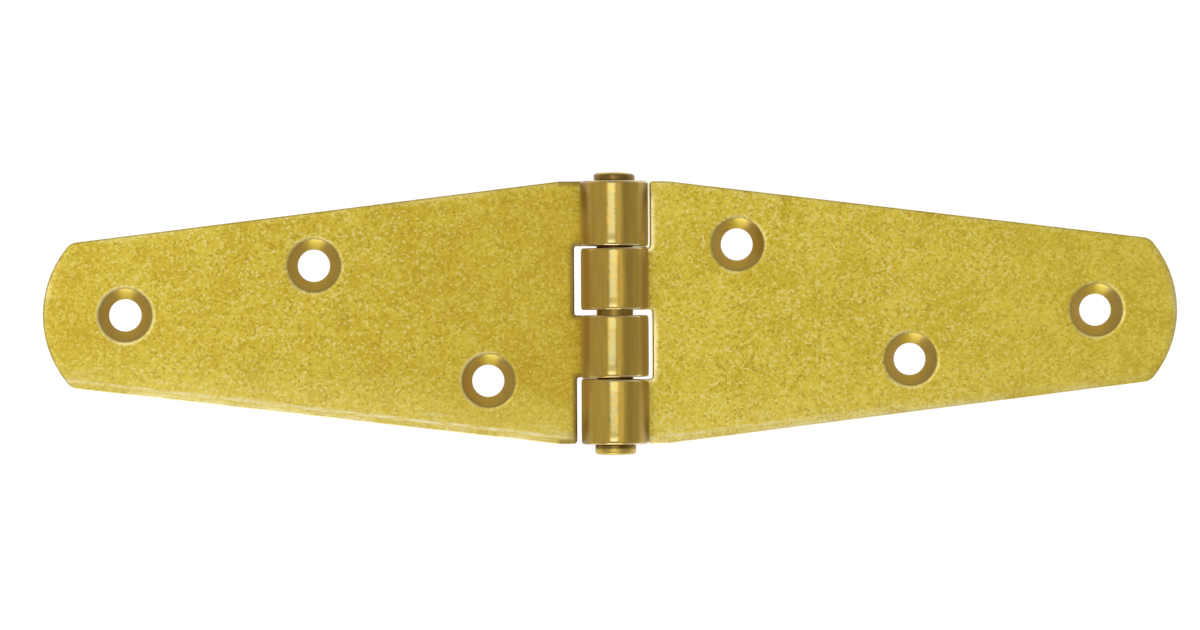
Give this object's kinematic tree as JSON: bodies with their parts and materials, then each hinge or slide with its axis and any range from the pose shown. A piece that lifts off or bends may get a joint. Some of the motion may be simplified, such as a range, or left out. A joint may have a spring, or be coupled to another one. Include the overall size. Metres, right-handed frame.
{
  "type": "double strap hinge",
  "caption": "Brass double strap hinge lying open: tapered, countersunk leaves rolled from sheet around a riveted pin.",
  "frame": {"origin": "middle of the barrel along the pin, on the plane of the leaves' backs, straight below the pin's axis", "axes": "+X from the pin along the right leaf, +Y along the pin, +Z from the backs of the leaves towards their fronts, where the barrel stands proud"},
  "size_m": [0.15, 0.0372, 0.0089],
  "materials": {
    "leaf_brass": "tumbled sheet brass with a fine grain, the rolled knuckles burnished smoother",
    "pin_brass": "drawn brass rod, dull, with hammered heads"
  },
  "bodies": {
    "left_leaf": {"left_leaf": "leaf_brass", "pin": "pin_brass"},
    "right_leaf": {"right_leaf": "leaf_brass"}
  },
  "joints": [
    {"name": "leaf_swing", "type": "hinge", "parent": "left_leaf", "child": "right_leaf", "pos_m": [0, 0, 0.00445], "axis": [0, -1, 0], "range_deg": [-92, 183]}
  ]
}
